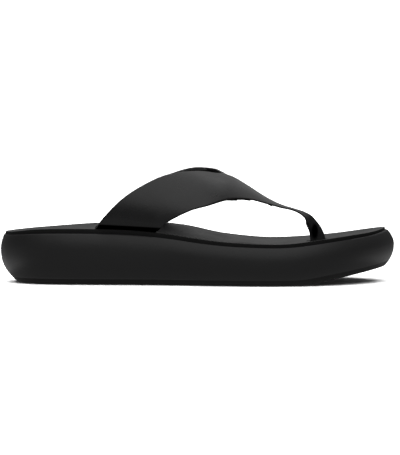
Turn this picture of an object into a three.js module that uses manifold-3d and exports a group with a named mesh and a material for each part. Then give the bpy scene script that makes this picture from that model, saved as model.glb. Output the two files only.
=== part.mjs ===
// A right-foot thong sandal (flip flop) with wide leather straps on a thick foam comfort sole.
//
// Units are millimetres. +X points to the toe, +Y to the medial (big toe) side and +Z up.
// The origin is on the ground, under the middle of the sole.
//
// From the ground up: rubber outsole, foam midsole with a recess, filler, fibreboard insole, foam
// footbed and leather cover. Each strap passes down through a slot near the footbed's edge and is
// turned under the board, where two staples hold it. The lateral strap's front end is folded
// lengthwise into the toe post, which a cross pin holds under the board.

import * as THREE from "three";
import { mergeVertices } from "three/addons/utils/BufferGeometryUtils.js";
import Module from "manifold-3d";

const wasm = await Module();
wasm.setup();

// ---- Driving dimensions ----

const GAP = 0.3; // clearance between neighbouring pieces
const FIT = 0.4; // clearance of a strap in its slot, and of the footbed in the midsole

// Depths of each layer below the footbed's top face.
const COVER_THICKNESS = 1.2;
const FOAM_TOP = COVER_THICKNESS + GAP;
const FOAM_BOTTOM = FOAM_TOP + 3;
const BOARD_TOP = FOAM_BOTTOM + GAP;
const BOARD_BOTTOM = BOARD_TOP + 1.8;
const TAIL_TOP = BOARD_BOTTOM + GAP;
const FILLER_BOTTOM = TAIL_TOP + 2.1;
const RECESS_FLOOR = FILLER_BOTTOM + GAP;

const OUTSOLE_THICKNESS = 4;
const TREAD_DEPTH = 1.4;
const TREAD_PITCH = 9;
const TREAD_GROOVE = 3;
const TREAD_BORDER = 7;
const TREAD_X = [-112.5, 112]; // the first groove's place, and the limit of the last one's

const LEATHER = 1.1; // thickness of a strap's leather
const LINING = 0.6; // thickness of its lining
const PLY_GAP = 0.15; // each ply's distance from the surface between them
const STACK_DROP = 2.8; // how far the medial strap dives to pass under the lateral strap

const TAIL_LENGTH = 14; // of a strap under the board
const POST_Y = 10; // the toe post's place across the foot
const POST_WIDTH = 19.2; // flat width of the folded toe post
const POST_FOLD_RADIUS = 0.9;
const POST_HOLE_X = [75.1, 89.4];

// ---- Smooth curves ----

// y(x) through the given [x, y] points, held at its end values beyond them.
function smoothThrough(points) {
  const last = points.length - 1;
  const slopes = points.map((_, i) => {
    const before = points[Math.max(i - 1, 0)];
    const after = points[Math.min(i + 1, last)];
    return (after[1] - before[1]) / (after[0] - before[0]);
  });
  return (x) => {
    if (x <= points[0][0]) return points[0][1];
    if (x >= points[last][0]) return points[last][1];
    const i = points.findIndex((p) => p[0] > x) - 1;
    const [x0, y0] = points[i];
    const [x1, y1] = points[i + 1];
    const h = x1 - x0;
    const t = (x - x0) / h;
    const bend = t * (1 - t) * ((1 - t) * (h * slopes[i] - (y1 - y0)) - t * (h * slopes[i + 1] - (y1 - y0)));
    return y0 + (y1 - y0) * t + bend;
  };
}

const { lerp, smoothstep, degToRad, radToDeg } = THREE.MathUtils;

// ---- The footbed's outline and surfaces ----

// Plan of the footbed's edge, from the heel's end round the lateral side to the toe and back
// along the medial side. Both sides have the same number of points, so they pair up.
const HEEL_END = [-131, 0.5];
const TOE_END = [128.8, 8];
const LATERAL_SIDE = [
  [-126.5, -14.5],
  [-115, -25],
  [-92, -31.5],
  [-60, -33.5],
  [-25, -36],
  [10, -42],
  [42, -46],
  [70, -43.5],
  [93, -35.5],
  [112, -22],
  [124.5, -5.5],
];
const MEDIAL_SIDE = [
  [-126.5, 15],
  [-115, 25],
  [-92, 31],
  [-60, 32],
  [-28, 32.5],
  [8, 38],
  [38, 45],
  [66, 45.5],
  [92, 41],
  [112, 33.5],
  [124.5, 20.5],
];
const flat = ([x, y]) => new THREE.Vector3(x, y, 0);
const outline = new THREE.CatmullRomCurve3(
  [HEEL_END, ...LATERAL_SIDE, TOE_END, ...MEDIAL_SIDE.toReversed()].map(flat),
  true,
);
const RING = 60; // points round a ring; point i pairs with point RING - i across the foot

// Height of the footbed's edge along each side, and how deep its middle is dished.
const lateralRim = smoothThrough([
  [-131, 34.8],
  [-107, 37.5],
  [-75, 38],
  [-45, 37.2],
  [-20, 34.8],
  [0, 31.8],
  [18, 29.7],
  [45, 28.4],
  [60, 28.6],
  [77, 30.3],
  [96, 32.8],
  [113, 35.1],
  [129, 37.1],
]);
const medialRim = smoothThrough([
  [-131, 34.8],
  [-107, 36.1],
  [-73, 38.4],
  [-40, 40],
  [-10, 37.6],
  [18, 31.4],
  [45, 28.1],
  [67, 28.3],
  [89, 30.2],
  [108, 32.9],
  [129, 37.1],
]);
const dish = smoothThrough([
  [-131, 0],
  [-114, 2.2],
  [-90, 3],
  [-30, 2.2],
  [30, 1.6],
  [80, 2.2],
  [112, 1.6],
  [129, 0],
]);
const halfWidth = smoothThrough([
  [-131, 14],
  [-115, 25],
  [-60, 33],
  [-25, 34.5],
  [42, 45.5],
  [70, 44.5],
  [112, 28],
  [129, 14],
]);

function footbed(x, y) {
  const across = THREE.MathUtils.clamp(y / halfWidth(x), -1, 1);
  const rim = lerp(lateralRim(x), medialRim(x), smoothstep(across, -1, 1));
  return rim - dish(x) * (1 - across * across);
}

const below = (depth) => (x, y) => footbed(x, y) - depth;

// How far the midsole's rim lies below the footbed's edge.
const rimDrop = smoothThrough([
  [-131, 1.5],
  [-105, 2.9],
  [98, 2.9],
  [129, 1.4],
]);

// Underside of the sole: flat on the ground, then curving up at the toe.
const SPRING_START = 60;
const SPRING_BLEND = 20;
const SPRING_SLOPE = 0.18;
function ground(x) {
  const ahead = Math.max(x - SPRING_START, 0);
  if (ahead < SPRING_BLEND) return (SPRING_SLOPE * ahead * ahead) / (2 * SPRING_BLEND);
  return SPRING_SLOPE * (ahead - SPRING_BLEND / 2);
}

// The side wall: how far it bulges out beyond the footbed's edge, the share of its height where
// it is widest, and how far it is tucked in at the ground.
const wallBulge = smoothThrough([
  [-131, 3.3],
  [-90, 4.8],
  [40, 5.8],
  [129, 6.3],
]);
const wallPeak = smoothThrough([
  [-131, 0.645],
  [0, 0.6],
  [129, 0.55],
]);
const wallTuck = smoothThrough([
  [-131, 8.5],
  [-95, 5],
  [70, 4],
  [105, 1.8],
  [129, -0.2],
]);

// ---- Rings and the closed shells built from them ----

// A point on the footbed's outline moved outwards by distance.
function outlinePoint(index, distance) {
  const t = index / RING;
  const point = outline.getPoint(t);
  const tangent = outline.getTangent(t);
  return new THREE.Vector3(point.x + tangent.y * distance, point.y - tangent.x * distance, 0);
}

// A ring that keeps one distance from the outline, at the given height.
function offsetRing(distance, height) {
  return Array.from({ length: RING }, (_, i) => {
    const p = outlinePoint(i, distance);
    p.z = height(p.x, p.y);
    return p;
  });
}

// A ring on the side wall, a share of the way up from the ground, or a height above the ground.
function wallRing({ share, above }) {
  return Array.from({ length: RING }, (_, i) => {
    const edge = outlinePoint(i, 0);
    const rim = footbed(edge.x, edge.y);
    const part = share ?? above / (rim - ground(edge.x));
    const peak = wallPeak(edge.x);
    const bulge = wallBulge(edge.x);
    const reach = part > peak ? (part - peak) / (1 - peak) : (peak - part) / peak;
    const inset = part > peak ? bulge : bulge + wallTuck(edge.x);
    const p = outlinePoint(i, bulge - inset * reach ** (part > peak ? 2 : 2.4));
    p.z = lerp(ground(p.x), rim, part);
    return p;
  });
}

// The rows that fill a ring: from its lateral point to the paired medial one.
const ACROSS = 5;
function capRows(ring, height) {
  const rows = [[ring[0]]];
  for (let i = 1; i < RING / 2; i++) {
    const row = [];
    for (let j = 0; j <= ACROSS; j++) {
      const p = new THREE.Vector3().lerpVectors(ring[i], ring[RING - i], j / ACROSS);
      if (j > 0 && j < ACROSS) p.z = height(p.x, p.y);
      row.push(p);
    }
    rows.push(row);
  }
  rows.push([ring[RING / 2]]);
  return rows;
}

// Triangles between two neighbouring rows, either of which may be a single point.
function stitch(triangles, a, b) {
  const steps = Math.max(a.length, b.length) - 1;
  for (let j = 0; j < steps; j++) {
    const [a0, a1] = a.length > 1 ? [a[j], a[j + 1]] : [a[0], a[0]];
    const [b0, b1] = b.length > 1 ? [b[j], b[j + 1]] : [b[0], b[0]];
    if (a.length > 1) triangles.push([a0, b0, a1]);
    if (b.length > 1) triangles.push([a1, b0, b1]);
  }
}

function solidFrom(triangles) {
  const positions = triangles.flat().flatMap((p) => [p.x, p.y, p.z]);
  const loose = new THREE.BufferGeometry();
  loose.setAttribute("position", new THREE.Float32BufferAttribute(positions, 3));
  const merged = mergeVertices(loose, 1e-4);
  return new wasm.Manifold(
    new wasm.Mesh({
      numProp: 3,
      vertProperties: merged.attributes.position.array,
      triVerts: new Uint32Array(merged.index.array),
    }),
  );
}

// A closed body: a cap facing up on the first ring, walls from ring to ring, and a cap facing
// down on the last.
function shell(rings, firstHeight, lastHeight) {
  const triangles = [];
  const top = capRows(rings[0], firstHeight);
  for (let i = 1; i < top.length; i++) stitch(triangles, top[i - 1], top[i]);
  const bottom = capRows(rings.at(-1), lastHeight);
  for (let i = 1; i < bottom.length; i++) stitch(triangles, bottom[i], bottom[i - 1]);
  for (let r = 1; r < rings.length; r++) {
    const [upper, lower] = [rings[r - 1], rings[r]];
    stitch(triangles, [...upper, upper[0]], [...lower, lower[0]]);
  }
  return solidFrom(triangles);
}

// ---- Cutters ----

function solidOf(geometry) {
  const bare = geometry.index ? geometry.toNonIndexed() : geometry;
  const points = [];
  const position = bare.getAttribute("position");
  for (let i = 0; i < position.count; i++) points.push(new THREE.Vector3().fromBufferAttribute(position, i));
  const triangles = [];
  for (let i = 0; i < points.length; i += 3) triangles.push(points.slice(i, i + 3));
  return solidFrom(triangles);
}

function box(sizeX, sizeY, sizeZ, x, y, z, turnZ = 0, turnY = 0) {
  const geometry = new THREE.BoxGeometry(sizeX, sizeY, sizeZ);
  geometry.rotateY(turnY);
  geometry.rotateZ(turnZ);
  geometry.translate(x, y, z);
  return solidOf(geometry);
}

// ---- The instep surface that both straps lie on ----

// Where each strap goes through the footbed: a straight slot, from its rear to its front end.
const LATERAL_SLOT = { rear: [-69, -30], front: [-28, -32.4], inward: 1 };
const MEDIAL_SLOT = { rear: [-65.5, 29], front: [-25, 29.7], inward: -1 };
const slotY = ({ rear, front }, x) => lerp(rear[1], front[1], (x - rear[0]) / (front[0] - rear[0]));

const crestY = smoothThrough([
  [-70, 3],
  [-20, 4],
  [20, 7.5],
  [46, 10],
  [68, 10],
]);
const crestZ = smoothThrough([
  [-70, 97],
  [-20, 85],
  [0, 80.2],
  [12, 76.2],
  [20, 73],
  [35, 64],
  [46, 56.8],
  [57, 51.1],
  [68, 48.2],
]);
const sideZ = smoothThrough([
  [-70, 45],
  [-50, 44.5],
  [-20, 41],
  [0, 38],
  [20, 34],
  [35, 30],
  [46, 26.5],
  [68, 22],
]);
const MEDIAL_RISE = 4; // how much higher the widest place is on the medial side
const lateralSideY = smoothThrough([
  [-70, -34.5],
  [-50, -36],
  [0, -39],
  [20, -37.5],
  [46, -31],
  [68, -26],
]);
const medialSideY = smoothThrough([
  [-70, 32.3],
  [-50, 33],
  [-20, 34],
  [0, 36.5],
  [20, 39.5],
  [46, 40],
  [68, 38],
]);

// The angle at which the instep surface meets a strap's slot, below the side.
function slotAngle(slot, x) {
  const sideY = slot.inward > 0 ? lateralSideY(x) : medialSideY(x);
  const share = (slotY(slot, x) - crestY(x)) / (sideY - crestY(x));
  const angle = radToDeg(Math.acos(share));
  return slot.inward > 0 ? -angle : 180 + angle;
}

// A point on the instep surface. The angle goes round from 0 at the lateral side, over the
// crest at 90, to 180 at the medial side, and a little below the sides down to the slots.
function instep(x, degrees) {
  const lateral = degrees < 90;
  const angle = degToRad(degrees);
  const slot = lateral ? LATERAL_SLOT : MEDIAL_SLOT;
  const reach = lateral ? crestY(x) - lateralSideY(x) : medialSideY(x) - crestY(x);
  const side = lateral ? sideZ(x) : sideZ(x) + MEDIAL_RISE;
  const slotRise = Math.abs(Math.sin(degToRad(slotAngle(slot, x))));
  const drop = (side - footbed(x, slotY(slot, x))) / slotRise;
  const height = Math.sin(angle) > 0 ? crestZ(x) - side : drop;
  return new THREE.Vector3(x, crestY(x) - reach * Math.cos(angle), side + height * Math.sin(angle));
}

// ---- The straps' edges, as angles on the instep surface ----

const END_X = 66; // where the lateral strap has become the flat top of the toe post
const MEDIAL_END_X = 52; // where the medial strap's tongue ends under the lateral strap
const lateralRear = smoothThrough([
  [LATERAL_SLOT.rear[0], slotAngle(LATERAL_SLOT, LATERAL_SLOT.rear[0])],
  [-64, -1.3],
  [-62.3, 1.8],
  [-50, 17.1],
  [-36, 32],
  [-20, 48],
  [-3, 60.5],
  [7, 67],
  [13, 71],
  [20, 80],
  [27, 90],
  [44, 101.5],
  [END_X, 103],
]);
const lateralFront = smoothThrough([
  [LATERAL_SLOT.front[0], slotAngle(LATERAL_SLOT, LATERAL_SLOT.front[0])],
  [-22.5, -1.2],
  [-19.8, 2.3],
  [-4.5, 15.9],
  [8, 25],
  [24, 40.5],
  [45, 62],
  [56, 73],
  [END_X, 80],
]);
const medialRear = smoothThrough([
  [MEDIAL_SLOT.rear[0], slotAngle(MEDIAL_SLOT, MEDIAL_SLOT.rear[0])],
  [-56, 181.5],
  [-54.3, 179],
  [-44, 165],
  [-32, 151],
  [-16, 134],
  [-2, 117.5],
  [7, 107.5],
  [14, 96],
  [19, 85],
  [24, 77.5],
  [34, 72.5],
  [MEDIAL_END_X, 79],
]);
const medialFront = smoothThrough([
  [MEDIAL_SLOT.front[0], slotAngle(MEDIAL_SLOT, MEDIAL_SLOT.front[0])],
  [-14.5, 181.5],
  [-12.8, 179],
  [6, 163],
  [28, 146.5],
  [44, 124.5],
  [MEDIAL_END_X, 105],
]);

const LATERAL = { slot: LATERAL_SLOT, rear: lateralRear, front: lateralFront, endX: END_X };
const MEDIAL = { slot: MEDIAL_SLOT, rear: medialRear, front: medialFront, endX: MEDIAL_END_X };

// ---- Straps as grids of points ----

const STRAP_CELLS = 10;

// Places across a strap, from -1 at its rear edge to 1 at its front edge, closest in the middle
// where the toe post folds.
const acrossShares = steps(STRAP_CELLS, -1, 1).map((u) => Math.sign(u) * Math.abs(u) ** 1.5);

// Rows of places on the instep surface, from a strap's slot to its front end, closest at first.
// The rear edge sets off more slowly than the front edge, as it is the steeper one.
const BAND_START = 0.03;
const CROWDING = 1.5;
const REAR_LAG = 1.3;
function bandPlaces({ slot, rear, front, endX }, count) {
  return steps(count, BAND_START ** (1 / CROWDING), 1).map((s) => {
    const t = s ** CROWDING;
    const rearX = lerp(slot.rear[0], endX, t ** REAR_LAG);
    const frontX = lerp(slot.front[0], endX, t);
    return acrossShares.map((share) => {
      const w = (share + 1) / 2;
      return { x: lerp(rearX, frontX, w), degrees: lerp(rear(rearX), front(frontX), w) };
    });
  });
}

const onInstep = (places) => places.map((row) => row.map(({ x, degrees }) => instep(x, degrees)));

// Rows of a strap's tail: inwards under the board, round the bend and up its slot.
const BEND_RADIUS = 1.2;
const SLOT_COLLAR = 1.3; // how far the strap stands straight up out of its slot
const SLOT_EASE = 0.5; // extra room on the side that the strap leans out over
const TAIL_MIDDLE = TAIL_TOP - PLY_GAP;
function tailRows({ slot }) {
  const at = (inward, depth) =>
    acrossShares.map((share) => {
      const x = lerp(slot.rear[0], slot.front[0], (share + 1) / 2);
      const y = slotY(slot, x) + slot.inward * inward;
      return new THREE.Vector3(x, y, footbed(x, y) - depth);
    });
  const rows = [at(TAIL_LENGTH, TAIL_MIDDLE), at(TAIL_LENGTH / 2, TAIL_MIDDLE), at(BEND_RADIUS + 1, TAIL_MIDDLE)];
  for (const degrees of [0, 30, 60, 90]) {
    const turn = degToRad(degrees);
    const inward = BEND_RADIUS * (1 - Math.sin(turn));
    rows.push(at(inward, TAIL_MIDDLE - BEND_RADIUS * (1 - Math.cos(turn))));
  }
  rows.push(at(0, BOARD_TOP), at(0, 0.3), at(0, -SLOT_COLLAR));
  return rows;
}

// The toe post: the strap's end follows this line of [x, z] points over the top of the post and
// down through the footbed, and folds shut about it by the given angles.
const POST_LINE = [
  [END_X, 48.5],
  [72.8, 46.4],
  [77.6, 43.8],
  [80.8, 40.4],
  [83.7, 36.6],
  [85.8, 32.4],
  [87, 28],
  [87.4, 22],
  [87.4, 14],
];
const postLine = new THREE.CatmullRomCurve3(
  [[60, crestZ(60)], ...POST_LINE].map(([x, z]) => new THREE.Vector3(x, POST_Y, z)),
);
const postFold = smoothThrough([
  [0.1, 0],
  [0.25, 55],
  [0.36, 115],
  [0.5, 158],
  [0.65, 176],
  [1, 179],
]);
const postFlatWidth = smoothThrough([
  [0.1, 12.5],
  [0.25, 12.4],
  [0.36, 14.4],
  [0.5, 15.9],
  [0.62, 18.2],
  [0.72, POST_WIDTH],
  [1, POST_WIDTH],
]);

// A row of the folded post: an arc about the fold line, then a straight leg on each side.
function postRow(t) {
  const centre = postLine.getPoint(t);
  const along = postLine.getTangent(t);
  const out = new THREE.Vector3(-along.z, 0, along.x);
  const halfFold = degToRad(postFold(t)) / 2;
  const arc = POST_FOLD_RADIUS * halfFold;
  return acrossShares.map((share) => {
    const reach = (Math.abs(share) * postFlatWidth(t)) / 2;
    const turn = Math.min(reach / POST_FOLD_RADIUS, halfFold);
    const leg = Math.max(reach - arc, 0);
    const side = POST_FOLD_RADIUS * Math.sin(turn) + leg * Math.cos(halfFold);
    const back = POST_FOLD_RADIUS * (1 - Math.cos(turn)) + leg * Math.sin(halfFold);
    return centre
      .clone()
      .addScaledVector(out, -back)
      .setY(POST_Y - Math.sign(share) * side);
  });
}

// A grid moved outwards along its normals, by distance(i, j).
function raised(rows, distance) {
  const [last, width] = [rows.length - 1, rows[0].length - 1];
  return rows.map((row, i) =>
    row.map((p, j) => {
      const along = rows[Math.min(i + 1, last)][j].clone().sub(rows[Math.max(i - 1, 0)][j]);
      const across = row[Math.min(j + 1, width)].clone().sub(row[Math.max(j - 1, 0)]);
      return p.clone().addScaledVector(across.cross(along).normalize(), distance(i, j));
    }),
  );
}

// A ply of a strap: the space between two distances from its grid.
function ply(rows, inner, outer) {
  const [last, width] = [rows.length - 1, rows[0].length - 1];
  const [under, over] = [raised(rows, () => inner), raised(rows, () => outer)];
  const triangles = [];
  for (let i = 1; i <= last; i++) {
    stitch(triangles, over[i], over[i - 1]);
    stitch(triangles, under[i - 1], under[i]);
  }
  stitch(triangles, over[0], under[0]);
  stitch(triangles, under[last], over[last]);
  const side = (grid, j) => grid.map((row) => row[j]);
  stitch(triangles, side(under, 0), side(over, 0));
  stitch(triangles, side(over, width), side(under, width));
  return solidFrom(triangles);
}

function steps(count, from, to) {
  return Array.from({ length: count + 1 }, (_, i) => lerp(from, to, i / count));
}

const mirrored = (rows) => rows.map((row) => row.toReversed());

// ---- Pieces ----

function makeOutsole() {
  const body = shell(
    [wallRing({ above: OUTSOLE_THICKNESS }), wallRing({ above: OUTSOLE_THICKNESS / 2 }), wallRing({ above: 0 })],
    (x) => ground(x) + OUTSOLE_THICKNESS,
    (x) => ground(x),
  );
  return treadGrooves().reduce((solid, groove) => solid.subtract(groove), body);
}

// Straight grooves across the underside, inside a plain border.
function treadGrooves() {
  const bottom = wallRing({ above: 0 });
  const grooves = [];
  const [first, limit] = TREAD_X;
  for (let x = first; x < limit; x += TREAD_PITCH) {
    const near = bottom.filter((p) => Math.abs(p.x - x) < TREAD_PITCH).map((p) => p.y);
    const sides = [near.filter((y) => y < 0), near.filter((y) => y > 0)];
    const low = Math.max(...sides[0]) + TREAD_BORDER;
    const high = Math.min(...sides[1]) - TREAD_BORDER;
    const slope = Math.atan(ground(x + 0.5) - ground(x - 0.5));
    const depth = 2 * TREAD_DEPTH;
    if (high - low > 2 * TREAD_BORDER) {
      grooves.push(box(TREAD_GROOVE, high - low, depth, x, (low + high) / 2, ground(x), 0, -slope));
    }
  }
  return grooves;
}

function makeMidsole() {
  const rings = [
    offsetRing(FIT, below(RECESS_FLOOR)),
    offsetRing(FIT, (x, y) => footbed(x, y) - rimDrop(x)),
    wallRing({ share: 0.915 }),
    wallRing({ share: 0.82 }),
    wallRing({ share: 0.7 }),
    wallRing({ share: 0.58 }),
    wallRing({ share: 0.44 }),
    wallRing({ share: 0.3 }),
    wallRing({ share: 0.19 }),
    wallRing({ above: OUTSOLE_THICKNESS + GAP }),
  ];
  const body = shell(rings, below(RECESS_FLOOR), (x) => ground(x) + OUTSOLE_THICKNESS + GAP);
  return body.subtract(postCutter(PIN_POCKET, -PIN_POCKET_FLOOR, 0));
}

function makeLayer(inset, top, bottom) {
  return shell([offsetRing(-inset, below(top)), offsetRing(-inset, below(bottom))], below(top), below(bottom));
}

function makeCover() {
  const inner = -COVER_THICKNESS;
  const rings = [
    offsetRing(-0.6, below(0)),
    offsetRing(0, below(0.6)),
    offsetRing(0, below(BOARD_BOTTOM)),
    offsetRing(inner, below(BOARD_BOTTOM)),
    offsetRing(inner, below(COVER_THICKNESS)),
  ];
  return shell(rings, below(0), below(COVER_THICKNESS));
}

// Where the straps and the toe post pass through a layer.
function slotCutter({ rear, front, inward }) {
  const [dx, dy] = [front[0] - rear[0], front[1] - rear[1]];
  const plies = LEATHER + LINING + 2 * PLY_GAP;
  const outwards = (LEATHER - LINING + SLOT_EASE) / 2;
  const cutter = new THREE.BoxGeometry(Math.hypot(dx, dy) + 2 * FIT, plies + 2 * FIT + SLOT_EASE, 40);
  cutter.translate(0, -inward * outwards, 0);
  cutter.rotateZ(Math.atan2(dy, dx));
  cutter.translate((rear[0] + front[0]) / 2, (rear[1] + front[1]) / 2, 32);
  return solidOf(cutter);
}

const POST_THICKNESS = 2 * (POST_FOLD_RADIUS + PLY_GAP + LEATHER);
const POST_FLOOR = footbed((POST_HOLE_X[0] + POST_HOLE_X[1]) / 2, POST_Y);
const ABOVE_ALL = 6; // how far a cutter reaches above the footbed
const POST_PIN_LENGTH = 14;
const PIN_POCKET = POST_PIN_LENGTH + 2; // width of the space round the pin
const PIN_POCKET_FLOOR = RECESS_FLOOR + 6;
function postCutter(width, low, high) {
  const [from, to] = POST_HOLE_X;
  return box(to - from, width, high - low, (from + to) / 2, POST_Y, POST_FLOOR + (low + high) / 2);
}

const layerCutters = [
  slotCutter(LATERAL_SLOT),
  slotCutter(MEDIAL_SLOT),
  postCutter(POST_THICKNESS + 2 * FIT, -PIN_POCKET_FLOOR, ABOVE_ALL),
];
const withSlots = (solid) => layerCutters.reduce((cut, cutter) => cut.subtract(cutter), solid);

// The space that the turned-under tails and their staples take out of the filler.
const TAIL_ROOM = 3; // free space past a tail's end, and outside its slot
const TAIL_SIDE_ROOM = 1.5;
function tailCutter({ rear, front, inward }) {
  const [sizeX, sizeY] = [front[0] - rear[0] + 2 * TAIL_SIDE_ROOM, TAIL_LENGTH + 2 * TAIL_ROOM];
  const midY = (rear[1] + front[1]) / 2 + (inward * TAIL_LENGTH) / 2;
  return box(sizeX, sizeY, 40, (rear[0] + front[0]) / 2, midY, 25);
}

const FILLER_INSET = 3;
function makeFiller() {
  return makeLayer(FILLER_INSET, TAIL_TOP, FILLER_BOTTOM)
    .subtract(tailCutter(LATERAL_SLOT))
    .subtract(tailCutter(MEDIAL_SLOT))
    .subtract(postCutter(PIN_POCKET, -PIN_POCKET_FLOOR, ABOVE_ALL));
}

// ---- Staples and the toe post's pin ----

const STAPLE_WIDTH = 8;
const STAPLE_WIRE = 0.7;
const STAPLE_LEG = 3.1;
const STAPLE_CROWN_DEPTH = TAIL_TOP + LEATHER + GAP + STAPLE_WIRE;
const STAPLE_PLACE = 0.6; // share of the tail's length, from the slot

function stapleShape(clearance) {
  const [half, wire] = [STAPLE_WIDTH / 2 + clearance, STAPLE_WIRE + 2 * clearance];
  return new THREE.Shape([
    new THREE.Vector2(-half, 0),
    new THREE.Vector2(half, 0),
    new THREE.Vector2(half, STAPLE_LEG + clearance),
    new THREE.Vector2(half - wire, STAPLE_LEG + clearance),
    new THREE.Vector2(half - wire, STAPLE_WIRE),
    new THREE.Vector2(-half + wire, STAPLE_WIRE),
    new THREE.Vector2(-half + wire, STAPLE_LEG + clearance),
    new THREE.Vector2(-half, STAPLE_LEG + clearance),
  ]);
}

// A staple lies along X with its legs up, tilted to follow the board.
function stapleGeometry({ slot, at }, clearance) {
  const x = lerp(slot.rear[0], slot.front[0], at);
  const y = slotY(slot, x) + slot.inward * TAIL_LENGTH * STAPLE_PLACE;
  const wire = STAPLE_WIRE + 2 * clearance;
  const geometry = new THREE.ExtrudeGeometry(stapleShape(clearance), { depth: wire, bevelEnabled: false });
  geometry.translate(0, 0, -wire / 2);
  geometry.rotateX(Math.PI / 2);
  geometry.rotateY(-Math.atan((footbed(x + 4, y) - footbed(x - 4, y)) / 8));
  geometry.translate(x, y, footbed(x, y) - STAPLE_CROWN_DEPTH);
  return geometry;
}

const STAPLES = {
  lateral_staple_rear: { slot: LATERAL_SLOT, at: 0.25 },
  lateral_staple_front: { slot: LATERAL_SLOT, at: 0.75 },
  medial_staple_rear: { slot: MEDIAL_SLOT, at: 0.25 },
  medial_staple_front: { slot: MEDIAL_SLOT, at: 0.75 },
};
const STAPLE_CLEARANCE = 0.3;
function withStapleHoles(solid, slots) {
  return Object.values(STAPLES)
    .filter(({ slot }) => slots.includes(slot))
    .reduce((cut, staple) => cut.subtract(solidOf(stapleGeometry(staple, STAPLE_CLEARANCE))), solid);
}

const POST_PIN_RADIUS = 0.8;
const POST_PIN_X = 85;
const POST_PIN_DEPTH = BOARD_BOTTOM + 3;
function pinGeometry(radius, length) {
  const geometry = new THREE.CylinderGeometry(radius, radius, length, 12);
  geometry.translate(POST_PIN_X, POST_Y, POST_FLOOR - POST_PIN_DEPTH);
  return geometry;
}

// ---- Strap pieces ----

// How far the medial strap moves in to clear the lateral one: all the way where it lies under
// it, then fading out over its open part.
const FADE_START = 3;
const FADE_END = 30;
const UNLINED_X = [40, 48]; // the lateral strap has lost its lining beyond here
function medialDrop({ x, degrees }) {
  const full = lerp(STACK_DROP, STACK_DROP - LINING, smoothstep(x, ...UNLINED_X));
  return full * (1 - smoothstep(degrees - lateralRear(x), FADE_START, FADE_END));
}

const LINING_END = 0.76; // share of a strap's rows that its lining covers
const lateralBand = onInstep(bandPlaces(LATERAL, 28));
const lateralPost = steps(20, 0.13, 0.97).map(postRow);
const medialPlaces = mirrored(bandPlaces(MEDIAL, 26));
const medialBand = raised(onInstep(medialPlaces), (i, j) => -medialDrop(medialPlaces[i][j]));
const pinHole = solidOf(pinGeometry(POST_PIN_RADIUS + GAP, POST_PIN_LENGTH));

function makeLateralStrap() {
  const rows = [...tailRows(LATERAL), ...lateralBand, ...lateralPost];
  return withStapleHoles(ply(rows, PLY_GAP, PLY_GAP + LEATHER), [LATERAL_SLOT]).subtract(pinHole);
}

function makeMedialStrap() {
  const rows = [...mirrored(tailRows(MEDIAL)), ...medialBand];
  return withStapleHoles(ply(rows, PLY_GAP, PLY_GAP + LEATHER), [MEDIAL_SLOT]);
}

// The lining starts inside the slot and ends where the strap narrows.
function lining(tail, band) {
  const rows = [...tail.slice(-3), ...band.slice(0, Math.round(band.length * LINING_END))];
  return ply(rows, -PLY_GAP - LINING, -PLY_GAP);
}

// Woven tape in the middle of the folded post, down to the pin.
const TAPE_WIDTH = 4.4;
const TAPE_THICKNESS = 0.7;
const TAPE_SPAN = [0.42, 0.88]; // shares of the post's line
function makeTape() {
  const [halfX, halfY] = [TAPE_THICKNESS / 2, TAPE_WIDTH / 2];
  const shape = new THREE.Shape([
    new THREE.Vector2(-halfX, -halfY),
    new THREE.Vector2(halfX, -halfY),
    new THREE.Vector2(halfX, halfY),
    new THREE.Vector2(-halfX, halfY),
  ]);
  const line = new THREE.CatmullRomCurve3(
    steps(10, ...TAPE_SPAN).map((t) => {
      const along = postLine.getTangent(t);
      const out = new THREE.Vector3(-along.z, 0, along.x);
      return postLine.getPoint(t).addScaledVector(out, -TAPE_WIDTH / 2 - POST_FOLD_RADIUS);
    }),
  );
  return new THREE.ExtrudeGeometry(shape, { steps: 14, extrudePath: line });
}

// ---- Materials and the assembled sandal ----

const paint = (color, roughness, metalness = 0) => new THREE.MeshStandardMaterial({ color, roughness, metalness });
const materials = {
  rubber: paint(0x0c0c0d, 0.7),
  foam_unit: paint(0x161617, 0.6),
  leather: paint(0x1b1b1d, 0.5),
  lining: paint(0x141415, 0.75),
  foam: paint(0x3a3a3c, 0.95),
  board: paint(0x6b5744, 0.9),
  tape: paint(0x202022, 0.9),
  steel: paint(0xa8a8aa, 0.35, 1),
};

function geometryOf(solid) {
  const mesh = solid.getMesh();
  const geometry = new THREE.BufferGeometry();
  const position = new Float32Array(mesh.numVert * 3);
  for (let i = 0; i < mesh.numVert; i++) {
    const start = i * mesh.numProp;
    position.set(mesh.vertProperties.subarray(start, start + 3), i * 3);
  }
  geometry.setAttribute("position", new THREE.BufferAttribute(position, 3));
  geometry.setIndex(new THREE.BufferAttribute(mesh.triVerts, 1));
  geometry.computeVertexNormals();
  return geometry;
}

const sandal = new THREE.Group();
function add(name, shape, material) {
  const mesh = new THREE.Mesh(shape.isBufferGeometry ? shape : geometryOf(shape), material);
  mesh.name = name;
  sandal.add(mesh);
}

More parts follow.
